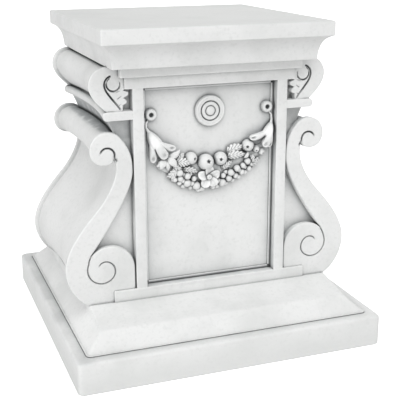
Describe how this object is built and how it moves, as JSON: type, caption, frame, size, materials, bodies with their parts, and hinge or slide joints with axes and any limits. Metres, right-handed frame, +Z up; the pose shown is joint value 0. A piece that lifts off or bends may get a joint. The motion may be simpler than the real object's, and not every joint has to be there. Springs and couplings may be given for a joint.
{
  "type": "garden statue plinth",
  "caption": "Square cast-stone plinth with S-scroll consoles, capital scrolls, moulded base and abacus, and a fruit festoon relief on the front.",
  "frame": {"origin": "centre of the underside of the foot slab", "axes": "+Z up, +X to the right along the carved front, -Y out of the carved front"},
  "size_m": [0.3858, 0.3858, 0.4],
  "materials": {
    "cast_stone": "off-white cast stone, matt, with a light grey wash in the hollows"
  },
  "bodies": {
    "root": {"plinth": "cast_stone"}
  },
  "joints": []
}
